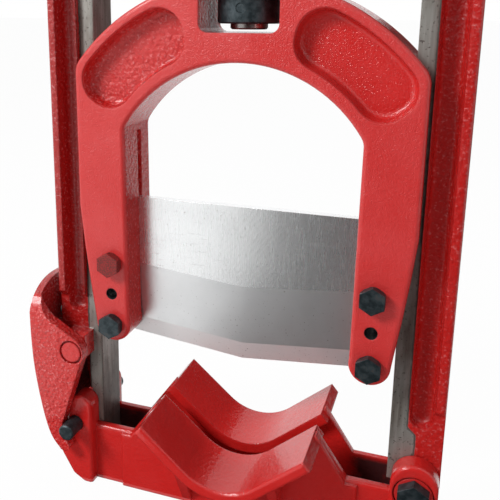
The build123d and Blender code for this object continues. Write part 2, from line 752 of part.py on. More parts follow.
def round_faces(part, depth, radius):
    """Rounds the outline of a casting's front and rear faces, but not along its foot."""
    outline = part.edges().filter_by(
        lambda edge: abs(abs(edge.center().Y) - depth) < 0.05
        and edge.bounding_box().size.Y < 0.05
        and edge.center().Z > base_foot_z + 1
    )
    fillet(outline, radius=radius)


# Plates along the whole base, up to the cradle's peaks
with BuildPart() as plates:
    with BuildSketch(Plane.XZ):
        with BuildLine():
            Polyline(
                (-foot_x, base_foot_z),
                (foot_x, base_foot_z),
                (foot_x + 10, foot_rise),
                (hinge_x + ear_r, ear_waist_z),
                (hinge_x + ear_r, ear_z),
                (hinge_x - ear_r, ear_z),
                (hinge_x - ear_r, plate_top_z),
                (flank_foot_x + flank_top, plate_top_z),
                (flank_x, cradle_peak_z),
                (0, valley_z),
                (-flank_x, cradle_peak_z),
                (-flank_foot_x - flank_top, plate_top_z),
                (left_step_x, plate_top_z),
                (left_step_x, left_ear_z),
                (left_ear_outer_x, left_ear_z),
                (-hinge_x - ear_r + 2, ear_waist_z),
                (-foot_x - 9, foot_rise),
                close=True,
            )
        make_face()
        with Locations((hinge_x, ear_z)):
            Circle(ear_r)
        with Locations((left_ear_x, left_ear_z)):
            Circle(left_ear_r)
    extrude(amount=plate_y, both=True)
    round_faces(plates, plate_y, cast_r)

# The plates are thicker under the cradle and along its flanks.
with BuildPart() as thick_plates:
    with BuildSketch(Plane.XZ):
        with BuildLine():
            Polyline(
                (-plate_step_x, base_foot_z),
                (plate_step_x, base_foot_z),
                (plate_step_x, plate_top_z - 1.5),
                (flank_foot_x + flank_top, plate_top_z - 1.5),
                (flank_x, cradle_peak_z),
                (0, valley_z),
                (-flank_x, cradle_peak_z),
                (-flank_foot_x - flank_top, plate_top_z - 1.5),
                (-plate_step_x, plate_top_z - 1.5),
                close=True,
            )
        make_face()
    extrude(amount=plate_low_y, both=True)
    round_faces(thick_plates, plate_low_y, plate_step_r)

# Ears, thickened outwards round the hinge bolt and the catch pin
with BuildPart() as right_ears:
    with BuildSketch(Plane.XZ):
        with BuildLine():
            Polyline(
                (hinge_x - ear_r, ear_z),
                (hinge_x + ear_r, ear_z),
                (hinge_x + ear_r, ear_waist_z),
                (foot_x + 10, foot_rise),
                (foot_x, base_foot_z),
                (hinge_x - ear_r, base_foot_z),
                close=True,
            )
        make_face()
        with Locations((hinge_x, ear_z)):
            Circle(ear_r)
    extrude(amount=ear_y, both=True)
    round_faces(right_ears, ear_y, cast_r)
with BuildPart() as left_ears:
    with BuildSketch(Plane.XZ):
        with Locations((left_ear_x, left_ear_z)):
            Circle(left_ear_r)
        with Locations((-hinge_x - ear_r + 6, ear_waist_z + 2)):
            Circle(4)
        with Locations((-foot_x - 5, foot_rise + 2)):
            Circle(4)
        with Locations((left_step_x - 4, base_foot_z + 4)):
            Rectangle(8, 8)
        make_hull()
    extrude(amount=ear_y, both=True)
    round_faces(left_ears, ear_y, cast_r)

# Cradle strips: a V of even thickness with a rounded bottom
with BuildPart() as cradle:
    with BuildSketch(Plane.XZ):
        with BuildLine():
            FilletPolyline(
                (-cradle_peak_x, cradle_peak_z),
                (0, valley_z),
                (cradle_peak_x, cradle_peak_z),
                radius=cradle_bottom_r,
            )
            offset(amount=cradle_thickness, side=Side.RIGHT)
        make_face()
    extrude(amount=cradle_y, both=True)
    round_faces(cradle, cradle_y, cradle_edge_r)
    # The strips leave a slot that is only a little wider than the blade.
    with Locations((0, 0, cradle_peak_z / 2)):
        Box(3 * cradle_peak_x, 2 * cradle_slot_y, 3 * cradle_peak_z, mode=Mode.SUBTRACT)

with BuildPart() as base_jaw:
    add(plates.part)
    add(thick_plates.part)
    add(right_ears.part)
    add(left_ears.part)
    # Gussets under the strips
    for gusset_x in (-gusset_pitch, 0, gusset_pitch):
        gusset_top_z = cradle_bottom_z - cradle_thickness / 2 + abs(gusset_x) * 0.4
        with BuildSketch(Plane.YZ.offset(gusset_x - gusset_thickness / 2)):
            with BuildLine():
                Polyline(
                    (-plate_low_y, base_foot_z + 2),
                    (plate_low_y, base_foot_z + 2),
                    (cradle_y - 6, gusset_top_z),
                    (-cradle_y + 6, gusset_top_z),
                    close=True,
                )
            make_face()
        extrude(amount=gusset_thickness)
    # The V is cut clear over the plates and the gussets.
    with BuildSketch(Plane.XZ):
        with BuildLine():
            top = FilletPolyline(
                (-cradle_peak_x, cradle_peak_z),
                (0, valley_z),
                (cradle_peak_x, cradle_peak_z),
                radius=cradle_bottom_r,
            )
            Line(top @ 0, top @ 1)
        make_face()
    extrude(amount=cradle_y, both=True, mode=Mode.SUBTRACT)
    # Slot for the blade, the rails' feet and the frame's knuckle
    with BuildSketch(Plane.XY.offset(base_foot_z + floor_thickness)):
        Rectangle(3 * hinge_x, 2 * slot_y)
    extrude(amount=cradle_peak_z + ear_r, mode=Mode.SUBTRACT)
    add(cradle.part)
    # Bores for the hinge bolt and the catch pin, and the bolt's spot faces
    with BuildSketch(Plane.XZ):
        with Locations((hinge_x, hinge_z)):
            Circle(hinge_bolt_d / 2 + seat_gap)
        with Locations((catch_x, catch_z)):
            Circle(catch_pin_d / 2 + seat_gap)
    extrude(amount=cradle_y, both=True, mode=Mode.SUBTRACT)
    for face in (-1, 1):
        with BuildSketch(Plane.XZ.offset(face * washer_seat_y)):
            with Locations((hinge_x, hinge_z)):
                Circle(spot_face_d / 2)
        extrude(amount=face * spot_face_depth * 2, mode=Mode.SUBTRACT)
base_jaw.part.label = "base_jaw"


# Hinge bolt, its washers and its nut
head_y = washer_seat_y + hinge_washer_thickness
with BuildPart() as hinge_bolt:
    with BuildSketch(Plane.XZ.offset(-head_y - hinge_nut_height - 3)):
        with Locations((hinge_x, hinge_z)):
            Circle(hinge_bolt_d / 2)
    extrude(amount=2 * head_y + hinge_nut_height + 3)
    chamfer(hinge_bolt.edges().group_by(Axis.Y)[-1], length=1)
    with BuildSketch(Plane.XZ.offset(head_y)):
        with Locations((hinge_x, hinge_z)):
            RegularPolygon(hinge_head_af / sqrt(3), 6, rotation=30)
    extrude(amount=hinge_head_height)
hinge_bolt.part.label = "hinge_bolt"

washers = []
for face in (-1, 1):
    with BuildPart() as washer:
        with BuildSketch(Plane.XZ.offset(-face * washer_seat_y)):
            with Locations((hinge_x, hinge_z)):
                Circle(hinge_washer_d / 2)
                Circle(hinge_bolt_d / 2 + seat_gap, mode=Mode.SUBTRACT)
        extrude(amount=-face * hinge_washer_thickness)
    washers.append(washer.part)
hinge_washers = Compound(label="hinge_washers", children=washers)

with BuildPart() as hinge_nut:
    with BuildSketch(Plane.XZ.offset(-head_y)):
        with Locations((hinge_x, hinge_z)):
            RegularPolygon(hinge_head_af / sqrt(3), 6, rotation=30)
            Circle(hinge_bolt_d / 2 + seat_gap, mode=Mode.SUBTRACT)
    extrude(amount=-hinge_nut_height)
hinge_nut.part.label = "hinge_nut"

# Catch pin through both left ears
with BuildPart() as catch_pin:
    with BuildSketch(Plane.XZ):
        with Locations((catch_x, catch_z)):
            Circle(catch_pin_d / 2)
    extrude(amount=catch_pin_end_y, both=True)
    chamfer(catch_pin.edges().filter_by(GeomType.CIRCLE), length=0.8)
catch_pin.part.label = "catch_pin"


# Latch casting: two cheeks joined by a web that ends in the thumb tab
back_points = (
    (spring_rest_x - latch_web, tab_top_z),
    (spring_rest_x - latch_web - 0.1, 120),
    (spring_rest_x - latch_web, 102),
    (spring_rest_x - latch_web + 1, 82),
    (catch_x - 20.6, catch_z + 15.5),
    (catch_x - 17.4, catch_z + 1.5),
    (catch_x - 11.7, catch_z - 11.5),
    (catch_x - 6.9, catch_z - 16.1),
)
lip_x = catch_x - catch_pin_d / 2 - gap
with BuildPart() as latch:
    with BuildSketch(Plane.XZ):
        with BuildLine():
            back = Spline(*back_points)
            lip = Line(back @ 1, (lip_x, lip_foot_z))
            side_line = Line(lip @ 1, (lip_x, catch_z + 3))
            throat = Line(side_line @ 1, (latch_x + 6.1, latch_z - 6.9))
            eye = ThreePointArc(throat @ 1, (latch_x + 8.1, latch_z), (latch_x + 4.2, latch_z + 8))
            brow = Line(eye @ 1, (latch_x - 10, latch_z + 16.3))
            nape_foot = (latch_x - 17, latch_z + 21.1)
            nape = ThreePointArc(brow @ 1, nape_foot, (spring_rest_x + 0.5, latch_z + 31.5))
            Line(nape @ 1, (spring_rest_x + 0.5, tab_top_z))
            Line((spring_rest_x + 0.5, tab_top_z), back @ 0)
        make_face()
    extrude(amount=cheek_front_y, both=True)
    back_edges = latch.edges().filter_by(
        lambda edge: abs(abs(edge.center().Y) - cheek_front_y) < 0.05
        and edge.center().X < spring_rest_x
        and edge.length > tab_top_z / 2
    )
    fillet(back_edges, radius=latch_edge_r)
    # Hollow between the cheeks; the web at the back stays.
    with BuildSketch(Plane.XZ):
        with BuildLine():
            hollow = Spline(*((x + latch_web, z) for x, z in back_points[:5]))
            Polyline(
                hollow @ 1,
                (-upright_outer_x - 40, web_foot_z),
                (-upright_outer_x - 40, base_foot_z),
                (0, base_foot_z),
                (0, tab_top_z + 1),
                (spring_rest_x, tab_top_z + 1),
                hollow @ 0,
            )
        make_face()
    extrude(amount=cheek_y, both=True, mode=Mode.SUBTRACT)
    # Running bores, the head's recess and the seat on the catch pin
    with BuildSketch(Plane.XZ):
        with Locations((latch_x, latch_z)):
            Circle(latch_pin_d / 2 + run_gap)
        with Locations((catch_x, catch_z)):
            Circle(catch_pin_d / 2 + gap)
    extrude(amount=cheek_front_y + 1, both=True, mode=Mode.SUBTRACT)
    with BuildSketch(Plane.XZ.offset(cheek_front_y)):
        with Locations((latch_x, latch_z)):
            Circle(latch_recess_d / 2)
    extrude(amount=-latch_recess, mode=Mode.SUBTRACT)
    # The tab's top corners are rounded off.
    with BuildSketch(Plane.YZ.offset(spring_rest_x - 2 * latch_web)):
        with Locations((0, tab_top_z - tab_corner_r)):
            Rectangle(2 * cheek_front_y + 2, 2 * tab_corner_r + 2)
            RectangleRounded(2 * cheek_front_y, 4 * tab_corner_r, tab_corner_r, mode=Mode.SUBTRACT)
    extrude(amount=3 * latch_web, mode=Mode.SUBTRACT)
latch.part.label = "latch"


# Grease nipple on the front of the nut's boss
with BuildPart() as grease_nipple:
    with BuildSketch(Plane.XZ.offset(nut_boss_d / 2 - nipple_seat)):
        with Locations((0, crossbar_mid_z)):
            RegularPolygon(nipple_af / 2, 6)
    extrude(amount=4)
    with BuildSketch(Plane.XZ.offset(nut_boss_d / 2 - nipple_seat + 4)):
        with Locations((0, crossbar_mid_z)):
            Circle(3.2)
    extrude(amount=5, taper=8)
grease_nipple.part.label = "grease_nipple"


# One STEP file for each node
for name, shape in (
    ("frame_casting", frame_casting.part),
    ("feed_nut", feed_nut.part),
    ("nut_lock_screw", nut_lock_screw.part),
    ("grease_nipple", grease_nipple.part),
    ("hinge_bush", hinge_bush.part),
    ("latch_pivot_pin", latch_pivot_pin.part),
    ("latch_pin_clip", latch_pin_clip.part),
    ("latch_spring", latch_spring.part),
    ("yoke_casting", yoke_casting.part),
    ("blade", blade.part),
    ("blade_bolts", blade_bolts),
    ("thrust_washer", thrust_washer.part),
    ("feed_screw", feed_screw.part),
    ("retaining_collar", retaining_collar.part),
    ("collar_pin", collar_pin.part),
    ("handle_hub", handle_hub.part),
    ("hub_pin", hub_pin.part),
    ("bar_plunger", bar_plunger.part),
    ("tommy_bar", tommy_bar.part),
    ("base_jaw", base_jaw.part),
    ("hinge_bolt", hinge_bolt.part),
    ("hinge_washers", hinge_washers),
    ("hinge_nut", hinge_nut.part),
    ("catch_pin", catch_pin.part),
    ("latch", latch.part),
):
    export_step(shape, f"parts/{name}.step")
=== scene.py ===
# %% [markdown]
# # A guillotine cutter for plastic pipe
# This lesson dresses a finished mechanical model. The castings, the blade, the
# screw and the pins arrive as a fixed frame, so nothing here moves or resizes
# them. What is added is what an engineer leaves out: the sand-cast skin under
# the enamel, the ground faces of the blade, the feed screw's thread, light and
# a camera.

# %% Load the frame and keep its box
import json
import math

import bmesh
import bpy
from mathutils import Matrix, Vector

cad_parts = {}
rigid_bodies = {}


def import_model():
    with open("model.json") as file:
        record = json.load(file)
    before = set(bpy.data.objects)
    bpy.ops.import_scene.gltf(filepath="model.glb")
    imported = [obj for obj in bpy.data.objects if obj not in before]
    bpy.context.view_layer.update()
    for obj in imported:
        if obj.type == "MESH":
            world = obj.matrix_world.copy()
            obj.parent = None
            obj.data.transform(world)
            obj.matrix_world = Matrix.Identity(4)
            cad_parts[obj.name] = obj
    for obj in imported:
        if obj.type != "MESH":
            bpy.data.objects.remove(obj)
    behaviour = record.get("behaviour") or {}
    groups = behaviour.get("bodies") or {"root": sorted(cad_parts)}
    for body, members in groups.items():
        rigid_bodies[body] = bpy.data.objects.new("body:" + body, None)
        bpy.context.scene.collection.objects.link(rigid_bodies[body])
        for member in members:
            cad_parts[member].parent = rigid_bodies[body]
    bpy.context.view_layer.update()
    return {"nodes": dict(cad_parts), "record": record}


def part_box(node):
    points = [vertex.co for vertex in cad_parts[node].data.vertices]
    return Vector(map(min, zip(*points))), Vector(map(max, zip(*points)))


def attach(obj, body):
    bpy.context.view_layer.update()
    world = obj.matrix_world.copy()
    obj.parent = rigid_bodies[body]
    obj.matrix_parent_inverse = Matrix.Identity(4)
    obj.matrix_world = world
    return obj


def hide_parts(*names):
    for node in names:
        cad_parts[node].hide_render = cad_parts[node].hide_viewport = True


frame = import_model()
nodes = frame["nodes"]
MM = 0.001
print("pieces in the frame:", len(nodes))

# %% [markdown]
# ## Shader arithmetic
# A material here is mostly masks: where paint ends, where a face was milled,
# how deep the sand's grain is. Written as nodes by hand that is a long chain of
# Math nodes. A small class wraps a socket and gives it Python's operators, so
# that a mask reads like a formula and adds its own nodes.

# %% A socket that can be calculated with
class Value:
    """An output socket with the operators that a mask or a size needs."""

    def __init__(self, nodes_of, socket):
        self.nodes_of = nodes_of
        self.socket = socket

    def math(self, operation, *others):
        return self.nodes_of.math(operation, self, *others)

    def __add__(self, other):
        return self.math("ADD", other)

    __radd__ = __add__

    def __sub__(self, other):
        return self.math("SUBTRACT", other)

    def __rsub__(self, other):
        return self.nodes_of.math("SUBTRACT", other, self)

    def __mul__(self, other):
        return self.math("MULTIPLY", other)

    __rmul__ = __mul__

    def __truediv__(self, other):
        return self.math("DIVIDE", other)

    def __abs__(self):
        return self.math("ABSOLUTE")

    def below(self, edge, soft):
        """1 where the value is under the edge, 0 above it, with a soft step."""
        return self.nodes_of.step(self, edge + soft, edge - soft)

    def above(self, edge, soft):
        return self.nodes_of.step(self, edge - soft, edge + soft)

    def either(self, other):
        return self.math("MAXIMUM", other)


class Nodes:
    """Adds nodes to a tree, and sets or links their sockets."""

    def node(self, kind, settings=None, inputs=None):
        made = self.tree.nodes.new(kind)
        for key, setting in (settings or {}).items():
            setattr(made, key, setting)
        for key, value in (inputs or {}).items():
            self.feed(made.inputs[key], value)
        return made

    def feed(self, socket, value):
        if isinstance(value, Value):
            self.tree.links.new(value.socket, socket)
        elif isinstance(value, bpy.types.NodeSocket):
            self.tree.links.new(value, socket)
        elif socket.type == "RGBA" and len(value) == 3:
            socket.default_value = (*value, 1.0)
        else:
            socket.default_value = value

    def math(self, operation, *values):
        made = self.node("ShaderNodeMath", {"operation": operation}, dict(enumerate(values)))
        return Value(self, made.outputs[0])


# %% [markdown]
# A material starts from the place of a point on the piece, in metres, because
# every piece keeps its place in its mesh. Noise and grain are sized in real
# millimetres. The enamel, the blade and the blackened steel also round their
# edges a little for the light: the Bevel node bends the normals next to an edge,
# as a coat of paint does when it flows over a corner.

# %% A material under construction
class Shader(Nodes):
    """A material with one Principled BSDF."""

    def __init__(self, name, edge=0.0):
        self.material = bpy.data.materials.new(name)
        self.material.use_nodes = True
        self.tree = self.material.node_tree
        self.bsdf = self.tree.nodes["Principled BSDF"]
        self.place = self.node("ShaderNodeTexCoord").outputs["Object"]
        split = self.node("ShaderNodeSeparateXYZ", inputs={"Vector": self.place})
        self.x, self.y, self.z = (Value(self, output) for output in split.outputs)
        self.edge = edge

    def step(self, value, low, high):
        made = self.node(
            "ShaderNodeMapRange",
            {"interpolation_type": "SMOOTHSTEP"},
            {"Value": value, "From Min": low, "From Max": high},
        )
        return Value(self, made.outputs["Result"])

    def noise(self, size, detail=3.0, stretch=(1, 1, 1), roughness=0.55):
        """Noise whose blotches are about size metres across, from 0 to 1."""
        mapping = self.node("ShaderNodeMapping", inputs={"Vector": self.place, "Scale": stretch})
        sizes = {"Scale": 1.0 / size, "Detail": detail, "Roughness": roughness}
        made = self.node("ShaderNodeTexNoise", inputs={"Vector": mapping.outputs["Vector"], **sizes})
        return Value(self, made.outputs["Fac"])

    def grains(self, size):
        """Distance to the nearest of many scattered grains, about size apart."""
        made = self.node(
            "ShaderNodeTexVoronoi",
            {"feature": "SMOOTH_F1"},
            {"Vector": self.place, "Scale": 1.0 / size, "Smoothness": 0.6},
        )
        return Value(self, made.outputs["Distance"])

    def mix(self, mask, first, second):
        """Colour that goes from first to second with the mask."""
        made = self.node("ShaderNodeMix", {"data_type": "RGBA"})
        self.feed(made.inputs["Factor"], mask)
        self.feed(made.inputs[6], first)
        self.feed(made.inputs[7], second)
        return made.outputs[2]

    def bump(self, height, depth):
        """The normal under a height map whose full range is depth metres."""
        made = self.node("ShaderNodeBump", inputs={"Height": height, "Distance": depth})
        if self.edge:
            rounded = self.node("ShaderNodeBevel", {"samples": 4}, {"Radius": self.edge})
            self.feed(made.inputs["Normal"], rounded.outputs["Normal"])
        return made.outputs["Normal"]

    def finish(self, **inputs):
        for key, value in inputs.items():
            self.feed(self.bsdf.inputs[key.replace("_", " ")], value)
        return self.material


# %% [markdown]
# ## Red enamel over a sand casting
# The frame, yoke, base and latch are iron castings, dipped in glossy red. Sand
# leaves a pebbly skin of grains one to two millimetres across, which the enamel
# softens but doesn't hide, and larger swells below it. So the finish is three
# heights in one bump: slow swells, the grain, and a fine orange peel. The same
# function also makes the milled faces, where the paint was cut away, because
# on the real frame paint and bare rail meet on one piece.

# %% Enamel, with optional masks for hollows, bare milled faces and painted deep shade
ENAMEL = (0.55, 0.013, 0.011)
# Painted shade: the deep red that dips and hollows are darkened towards.
ENAMEL_PAINTED_SHADE = (0.22, 0.005, 0.004)
# Painted pale sheen, also used for random pale blotches.
ENAMEL_TONE_AND_SHEEN = (0.62, 0.05, 0.05)
# Painted glints on the sand's grains.
ENAMEL_PAINTED_GLINT = (0.78, 0.26, 0.26)
# Painted deep shade, near black.
DEEP_SHADE_BLACK = (0.012, 0.015, 0.016)
SWELL = 9 * MM
SAND = 1.7 * MM
PEBBLE = 2.3 * MM
PEEL = 0.6 * MM
SKIN_DEPTH = 0.55 * MM
PAINT_EDGE = 1.5 * MM


def milled_iron(shader, rim):
    """Colour, roughness and height of a bare rail, dark and pitted along its rim."""
    streak = shader.noise(2.0 * MM, detail=3, stretch=(1, 1, 0.05))
    stain = shader.noise(14 * MM, detail=4, stretch=(1, 1, 0.35))
    pit = shader.step(shader.noise(1.3 * MM, detail=2), 0.37, 0.31)
    colour = shader.mix(shader.step(stain, 0.40, 0.66), (0.30, 0.295, 0.27), (0.15, 0.125, 0.105))
    colour = shader.mix(shader.step(streak, 0.35, 0.8) * 0.6, colour, (0.44, 0.43, 0.40))
    colour = shader.mix((pit * 0.7).either(rim * 0.8), colour, (0.05, 0.042, 0.038))
    return colour, 0.38 + streak * 0.16, streak * 0.25 - pit * 0.4


def enamel(
    name, grain=1.0, satin=0.0, hollow=None, coarser=0.0, darker=0.0, bare=None, deep_shade=None
):
    """Red enamel: grain is the sand's depth, satin the dulling of the open faces
    and the share of painted pale sheen on them.

    In a hollow the sand is coarser, and painted shade darkens the enamel, by the
    given shares. Every mask, and either share, is a function of the shader; the
    last mask paints near-black deep shade.
    """
    shader = Shader(name, edge=PAINT_EDGE)
    sheltered = hollow(shader) if hollow else 0.0
    coarser = coarser(shader) if callable(coarser) else coarser
    darker = darker(shader) if callable(darker) else darker
    swell = shader.noise(SWELL, detail=2)
    sand = shader.noise(SAND, detail=3, roughness=0.6)
    pebble = shader.grains(PEBBLE)
    peel = shader.noise(PEEL, detail=1)
    coarse = grain + sheltered * coarser
    skin = swell * 0.5 + (sand * 0.9 - pebble * 0.7) * coarse + peel * (0.12 + 0.5 * satin)
    blotch = shader.noise(26 * MM, detail=3)
    # Painted pale sheen on the open faces, over random pale blotches.
    blotch_tone_and_sheen = shader.step(blotch, 0.35, 0.75) * (0.1 + 0.3 * satin) + (1 - sheltered) * (0.35 * satin)
    colour = shader.mix(blotch_tone_and_sheen, ENAMEL, ENAMEL_TONE_AND_SHEEN)
    # Painted shade: the sand's dips, and the hollows by the darker share, go deep red.
    dip_shade_painted = shader.step(sand, 0.42, 0.30) * coarse * 0.15
    colour = shader.mix(dip_shade_painted.either(sheltered * darker), colour, ENAMEL_PAINTED_SHADE)
    # Painted glints: pale pink on the highest grains of the sand.
    glint_share = shader.math("MAXIMUM", coarse - 0.5, 0.0) * 0.28
    colour = shader.mix(shader.step(sand, 0.56, 0.68) * glint_share, colour, ENAMEL_PAINTED_GLINT)
    roughness = 0.13 + (1 - sheltered) * (0.15 * satin) + shader.step(sand, 0.4, 0.7) * 0.06
    painted = 1.0
    if bare:
        mask, rim = bare(shader)
        iron, iron_roughness, iron_height = milled_iron(shader, rim)
        colour = shader.mix(mask, colour, iron)
        painted = 1 - mask
        roughness = roughness * painted + mask * iron_roughness
        skin = skin * painted + mask * iron_height
        shader.finish(Metallic=mask * 0.6)
    # Painted deep shade: near black where the last mask says.
    if deep_shade:
        deep_shade_mask = deep_shade(shader)
        colour = shader.mix(deep_shade_mask, colour, DEEP_SHADE_BLACK)
        roughness = roughness + deep_shade_mask * 0.2
    return shader.finish(
        Base_Color=colour,
        Roughness=roughness,
        Coat_Weight=painted * 0.32,
        Coat_Roughness=0.04,
        Specular_IOR_Level=0.4,
        Normal=shader.bump(skin, SKIN_DEPTH),
    )


def dress(node_name, material):
    """Gives a node of the frame one material."""
    slots = nodes[node_name].data.materials
    slots.clear()
    slots.append(material)


# %% [markdown]
# ## The frame casting
# Each upright's inner edge is a milled rail: its running face and 9 mm of its
# front and back. The paint stops there in a ragged dark line. Below the
# right-hand pocket the cut runs a few millimetres wider. Everywhere else the
# sand is coarser, and the enamel is darkened with painted shade, more on the
# left; painted near-black shade lies behind the latch and down the left rail's
# inner face. Two materials could meet at a cut in the mesh, but the frame's mesh
# must stay whole, so one material asks each point where it lies, and needs no picture.

# %% Enamel and milled rails of the frame
LAND_EDGE = 96.6 * MM
RAIL_FACE = 11.3 * MM
WIDE_CUT = 4.4 * MM
WIDE_CUT_TOP = 73 * MM
crossbar_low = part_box("feed_nut")[0][2]


def milled_rails(shader):
    """The bare land, and the dark line where the paint ends."""
    ragged = (shader.noise(5 * MM, detail=3) - 0.5) * (1.6 * MM)
    wider = shader.x.above(0, 1 * MM) * shader.z.below(WIDE_CUT_TOP, 3 * MM) * WIDE_CUT
    across = abs(shader.x) + ragged - wider
    under_crossbar = shader.z.below(crossbar_low - 14 * MM, 0.5 * MM)
    on_rail = abs(shader.y).below(RAIL_FACE, 0.1 * MM) * under_crossbar
    land = across.below(LAND_EDGE, 0.25 * MM) * on_rail
    return land, across.above(LAND_EDGE - 0.9 * MM, 0.5 * MM) * land


def coarse_sand_and_shade(shader):
    """All of the casting but the front and back of the nut's boss: coarser sand, and painted shade.
    """
    return abs(shader.y).below(17 * MM, 0.8 * MM)


# Painted shade's share on the frame: 0.3, and 0.6 on the left.
def shade_share_left(shader):
    return shader.x.below(0, 10 * MM) * 0.3 + 0.3


def painted_shade_foot(shader):
    """Painted deep shade on the left upright, behind the latch and down the rail's inner face."""
    behind = shader.x.below(-97 * MM, 2 * MM) * shader.z.below(80 * MM, 14 * MM)
    inner = abs(shader.x).below(88 * MM, 0.3 * MM) * shader.z.below(80 * MM, 45 * MM) * 0.6
    dirty = behind.either(inner * shader.x.below(0, 1 * MM))
    return dirty * shader.step(shader.noise(9 * MM, detail=4), 0.2, 0.5) * 0.93


frame_enamel = enamel(
    "red enamel, frame",
    grain=0.75,
    satin=0.2,
    hollow=coarse_sand_and_shade,
    coarser=0.6,
    darker=shade_share_left,
    bare=milled_rails,
    deep_shade=painted_shade_foot,
)
dress("frame_casting", frame_enamel)
print("crossbar starts at", round(crossbar_low / MM, 1), "mm")

# %% [markdown]
# ## The yoke casting
# The yoke's open faces are rubbed dull and carry a painted pale sheen, its two
# kidney pockets have kept their gloss, and the left one came out of the mould
# rougher. A spare tapped hole in each leg is darkened inside with painted shade.
# Both are places on the casting, so they are masks again: the pockets by their
# depth below the front, the holes by the distance from the axis that the part's
# record gives.

# %% Enamel of the yoke
yoke_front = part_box("yoke_casting")[0][1]
spare_hole = next(m for m in frame["record"]["mounts"] if m["name"] == "spare_hole_left")
spare_x, _, spare_z = spare_hole["pos_m"]
spare_radius = spare_hole["dims"]["r_mm"] * MM


def kidney(shader):
    return abs(shader.y).below(-yoke_front - 1.5 * MM, 0.5 * MM)


def sandy_left(shader):
    return shader.x.below(0, 10 * MM) * 1.8


# Painted deep shade on the wall inside each spare hole.
def painted_shade_hole(shader):
    across = abs(shader.x) - abs(spare_x)
    up = shader.z - spare_z
    return (across * across + up * up).math("SQRT").below(spare_radius + 0.1 * MM, 0.1 * MM)


yoke_enamel = enamel(
    "red enamel, yoke", grain=0.3, satin=1.0, hollow=kidney, coarser=sandy_left, deep_shade=painted_shade_hole
)
dress("yoke_casting", yoke_enamel)
print("spare holes", round(2 * spare_radius / MM, 1), "mm wide")

# %% [markdown]
# ## The base, the latch and its pin
# The base is the smoothest casting, the latch the roughest. Painted near-black
# shade lies where the rails' feet stand in the base and between the latch's
# cheeks. The latch's web leans, so its mask ends at a leaning plane in the
# middle of the web, and the outside is left unshaded.

# %% Enamel of the base and the latch
LATCH_FACE = 30 * MM
LATCH_HOLLOW = 23 * MM
WEB_MIDDLE = -127 * MM
WEB_BEND = 82 * MM
WEB_LEAN = 0.252


def painted_shade_slot(shader):
    """Painted deep shade on the floor of the base, round the rails' feet."""
    inside = abs(shader.y).below(12.4 * MM, 0.4 * MM) * abs(shader.x).above(66 * MM, 5 * MM)
    inside = inside * shader.z.below(36 * MM, 2 * MM)
    return inside * shader.step(shader.noise(12 * MM, detail=4), 0.2, 0.5) * 0.9


def painted_shade_cheeks(shader):
    """Painted deep shade between the latch's cheeks, up to the middle of its web."""
    lean = (WEB_BEND - shader.z).math("MAXIMUM", 0.0) * WEB_LEAN
    inside = abs(shader.y).below(LATCH_HOLLOW - 0.4 * MM, 0.4 * MM)
    inside = inside * (shader.x - lean).above(WEB_MIDDLE, 0.3 * MM)
    return inside * (0.25 + shader.z.below(75 * MM, 15 * MM) * 0.68)


dress("base_jaw", enamel("red enamel, base", 0.35, 0.15, deep_shade=painted_shade_slot))
dress("hinge_washers", enamel("red enamel, washers", 0.4, 0.3))
dress("latch_pivot_pin", enamel("red enamel, pin", 0.8, 0.6))
latch_enamel = enamel("red enamel, latch", 2.0, 0.15, deep_shade=painted_shade_cheeks)
print("materials:", len(bpy.data.materials))

# %% [markdown]
# ## The blade's ground faces
# The blade is cut from plate and surface ground, so its flat shows faint arcs
# of the grinding wheel crossing each other. The two bevels are ground along the
# edge and mirror the light more evenly. Metal like this is nearly all
# reflection: a high metallic value, and fine stretched noise in the roughness
# and in the bump.

# %% Ground steel
BEVEL_RISE = 45.3 * MM
HONED_RISE = 10.2 * MM
EDGE_SLOPE = math.tan(math.radians(5.8))
WHEEL_CENTRE = (0.31, 0, -0.42)


def ground_blade():
    shader = Shader("ground blade steel", edge=0.3 * MM)
    edge_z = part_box("blade")[0][2]
    from_wheel = shader.node(
        "ShaderNodeMapping", inputs={"Vector": shader.place, "Location": WHEEL_CENTRE}
    )
    swirl = shader.node(
        "ShaderNodeTexWave",
        {"wave_type": "RINGS", "rings_direction": "Y"},
        {
            "Vector": from_wheel.outputs["Vector"],
            "Scale": 110.0,
            "Distortion": 2.2,
            "Detail": 3.0,
            "Detail Scale": 2.0,
        },
    )
    arcs = Value(shader, swirl.outputs["Fac"])
    hair = shader.noise(0.7 * MM, detail=3, stretch=(1, 1, 0.05))
    scratch = shader.step(shader.noise(0.8 * MM, detail=2, stretch=(0.05, 1, 1.4)), 0.66, 0.72)
    cloud = shader.noise(30 * MM, detail=4)
    over_edge = shader.z - abs(shader.x) * EDGE_SLOPE
    on_flat = over_edge.above(edge_z + BEVEL_RISE, 0.15 * MM)
    honed = over_edge.below(edge_z + HONED_RISE, 0.15 * MM)
    tone = shader.step(cloud, 0.3, 0.75) * 0.3 + (1 - on_flat) * 0.3
    colour = shader.mix(tone, (0.96, 0.975, 0.98), (0.72, 0.735, 0.74))
    colour = shader.mix((on_flat * arcs * 0.14).either(honed * 0.9), colour, (1.0, 1.0, 1.0))
    speck = shader.step(shader.noise(1.1 * MM, detail=2), 0.31, 0.27)
    colour = shader.mix(speck * 0.6, colour, (0.25, 0.22, 0.19))
    return shader.finish(
        Base_Color=colour,
        Metallic=0.92,
        Roughness=0.2 + (1 - on_flat) * 0.07 + honed * 0.16 + hair * 0.12,
        Normal=shader.bump(hair * 0.05 + on_flat * arcs * 0.07 - scratch * 0.35, 0.05 * MM),
    )


dress("blade", ground_blade())

# %% [markdown]
# ## Small steel parts
# Bolts, pins and knobs are blackened steel: dark, a little blue, and brown with
# rust where the oil has gone. One bolt at the upper left was painted over with
# the casting and has rusted through. So blackened steel takes a mask for paint, as
# enamel does for bare iron.

